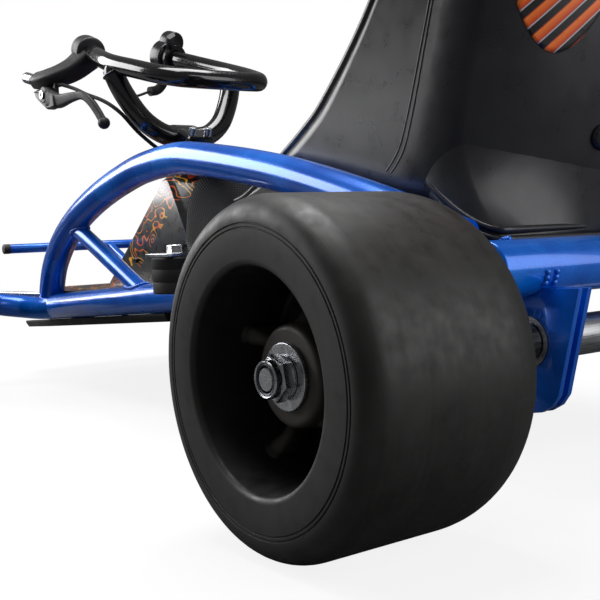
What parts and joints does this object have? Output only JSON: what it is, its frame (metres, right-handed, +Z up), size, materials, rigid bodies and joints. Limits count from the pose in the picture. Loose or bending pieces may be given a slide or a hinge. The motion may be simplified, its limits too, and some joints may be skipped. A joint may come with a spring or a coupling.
{
  "type": "electric drift kart",
  "caption": "Low electric kart: blue tube frame with side arches, wide hard slider wheels behind, pneumatic wheels in front, bucket seat and looped handlebar.",
  "frame": {"origin": "on the floor, under the centre of the bounding box", "axes": "+X towards the front of the kart, +Y to the driver's left, +Z up"},
  "size_m": [1.027, 0.68, 0.5668],
  "materials": {
    "blue_paint": "gloss metallic blue paint over steel tube",
    "black_paint": "gloss black paint",
    "zinc": "bright zinc plate",
    "steel": "plain bright steel",
    "charcoal_plastic": "hard charcoal wheel plastic, matt",
    "seat_plastic": "dark grey moulded plastic with a satin grain",
    "black_plastic": "black moulded plastic",
    "rubber": "black rubber",
    "tyre": "black tyre rubber",
    "webbing": "woven black webbing",
    "cast_metal": "cast aluminium",
    "red_plastic": "red plastic"
  },
  "bodies": {
    "frame": {"rear_cross_tube": "blue_paint", "lower_rail_left": "blue_paint", "lower_rail_right": "blue_paint", "side_arch_left": "blue_paint", "side_arch_right": "blue_paint", "front_hoop": "blue_paint", "steering_support": "blue_paint", "axle_plate_left": "blue_paint", "axle_plate_right": "blue_paint", "battery_tray": "black_paint", "seat_frame": "black_paint", "motor": "black_paint", "belt_tab_left": "zinc", "belt_tab_right": "zinc", "axle_bearing_left": "steel", "axle_bearing_right": "steel", "drive_chain": "steel", "seat_shell": "seat_plastic", "battery_pack": "black_plastic", "floor_panel": "black_plastic", "belly_pan": "black_plastic", "console_cover": "black_plastic", "belt_buckle": "black_plastic", "belt_spacer_left": "rubber", "belt_spacer_right": "rubber", "brake_cable": "rubber", "throttle_lead": "rubber", "belt_strap_left": "webbing", "belt_strap_right": "webbing", "brake_caliper": "cast_metal", "motor_controller": "cast_metal"},
    "rear_axle_set": {"rear_axle": "steel", "axle_sleeve": "steel", "slider_wheel_left": "charcoal_plastic", "slider_wheel_right": "charcoal_plastic", "axle_washer_left": "zinc", "axle_washer_right": "zinc", "axle_nut_left": "zinc", "axle_nut_right": "zinc", "axle_sprocket": "steel", "brake_disc": "steel"},
    "motor_sprocket": {"motor_sprocket": "steel"},
    "steering": {"steering_column": "steel", "handlebar": "black_paint", "stem_clamp": "black_paint", "brake_lever_mount": "black_plastic", "throttle_housing": "black_plastic"},
    "knuckle_left": {"knuckle_left": "steel"},
    "knuckle_right": {"knuckle_right": "steel"},
    "front_wheel_left": {"front_tyre_left": "tyre", "front_rim_left": "black_paint"},
    "front_wheel_right": {"front_tyre_right": "tyre", "front_rim_right": "black_paint"},
    "tie_rod_left": {"tie_rod_left": "steel"},
    "tie_rod_right": {"tie_rod_right": "steel"},
    "brake_lever": {"brake_lever": "black_plastic"},
    "brake_arm": {"brake_arm": "zinc"},
    "throttle_paddle": {"throttle_paddle": "black_plastic"},
    "power_switch": {"power_switch": "red_plastic"},
    "buckle_button": {"buckle_button": "red_plastic"}
  },
  "joints": [
    {"name": "axle_spin", "type": "hinge", "parent": "frame", "child": "rear_axle_set", "pos_m": [-0.4135, 0, 0.1], "axis": [0, 1, 0], "continuous": true},
    {"name": "motor_spin", "type": "hinge", "parent": "frame", "child": "motor_sprocket", "pos_m": [-0.1985, -0.182, 0.097], "axis": [0, 1, 0], "continuous": true},
    {"name": "steer", "type": "hinge", "parent": "frame", "child": "steering", "pos_m": [0.304, 0, 0.08], "axis": [-0.3907, 0, 0.9205], "range_deg": [-25, 25], "deforming": ["brake_cable", "throttle_lead"]},
    {"name": "knuckle_turn_left", "type": "hinge", "parent": "frame", "child": "knuckle_left", "pos_m": [0.3865, 0.232, 0.127], "axis": [0, 0, 1], "range_deg": [-18, 18]},
    {"name": "knuckle_turn_right", "type": "hinge", "parent": "frame", "child": "knuckle_right", "pos_m": [0.3865, -0.232, 0.127], "axis": [0, 0, 1], "range_deg": [-18, 18]},
    {"name": "front_wheel_spin_left", "type": "hinge", "parent": "knuckle_left", "child": "front_wheel_left", "pos_m": [0.3865, 0.296, 0.127], "axis": [0, 1, 0], "continuous": true},
    {"name": "front_wheel_spin_right", "type": "hinge", "parent": "knuckle_right", "child": "front_wheel_right", "pos_m": [0.3865, -0.296, 0.127], "axis": [0, 1, 0], "continuous": true},
    {"name": "tie_rod_turn_left", "type": "hinge", "parent": "steering", "child": "tie_rod_left", "pos_m": [0.34607, 0.012, 0.09862], "axis": [-0.3907, 0, 0.9205], "range_deg": [-27, 27]},
    {"name": "tie_rod_turn_right", "type": "hinge", "parent": "steering", "child": "tie_rod_right", "pos_m": [0.34607, -0.012, 0.09862], "axis": [-0.3907, 0, 0.9205], "range_deg": [-27, 27]},
    {"name": "lever_pull", "type": "hinge", "parent": "steering", "child": "brake_lever", "pos_m": [0.3901, 0.112, 0.368], "axis": [0, 1, 0], "range_deg": [0, 18], "stiffness_Nm_per_rad": 1.2, "springref_deg": -11.46},
    {"name": "brake_arm_swing", "type": "hinge", "parent": "frame", "child": "brake_arm", "pos_m": [-0.3535, 0.1677, 0.092], "axis": [0, 1, 0], "range_deg": [-20, 0]},
    {"name": "throttle_push", "type": "hinge", "parent": "steering", "child": "throttle_paddle", "pos_m": [0.37424, -0.05849, 0.42567], "axis": [-0.9432, -0.1533, -0.2947], "range_deg": [0, 30], "stiffness_Nm_per_rad": 0.2, "springref_deg": -17.19},
    {"name": "switch_slide", "type": "slide", "parent": "frame", "child": "power_switch", "axis": [1, 0, 0], "range_m": [0, 0.006]},
    {"name": "button_press", "type": "slide", "parent": "frame", "child": "buckle_button", "axis": [0, 0, -1], "range_m": [0, 0.0028], "stiffness_N_per_m": 600, "springref_m": -0.002}
  ],
  "couplings": [
    {"joint": "motor_spin", "follows": "axle_spin", "ratio": 4},
    {"joint": "knuckle_turn_left", "follows": "steer", "ratio": 0.6676},
    {"joint": "knuckle_turn_right", "follows": "steer", "ratio": 0.6676},
    {"joint": "tie_rod_turn_left", "follows": "steer", "ratio": -1.0541},
    {"joint": "tie_rod_turn_right", "follows": "steer", "ratio": -1.0541},
    {"joint": "brake_arm_swing", "follows": "lever_pull", "ratio": -1}
  ]
}
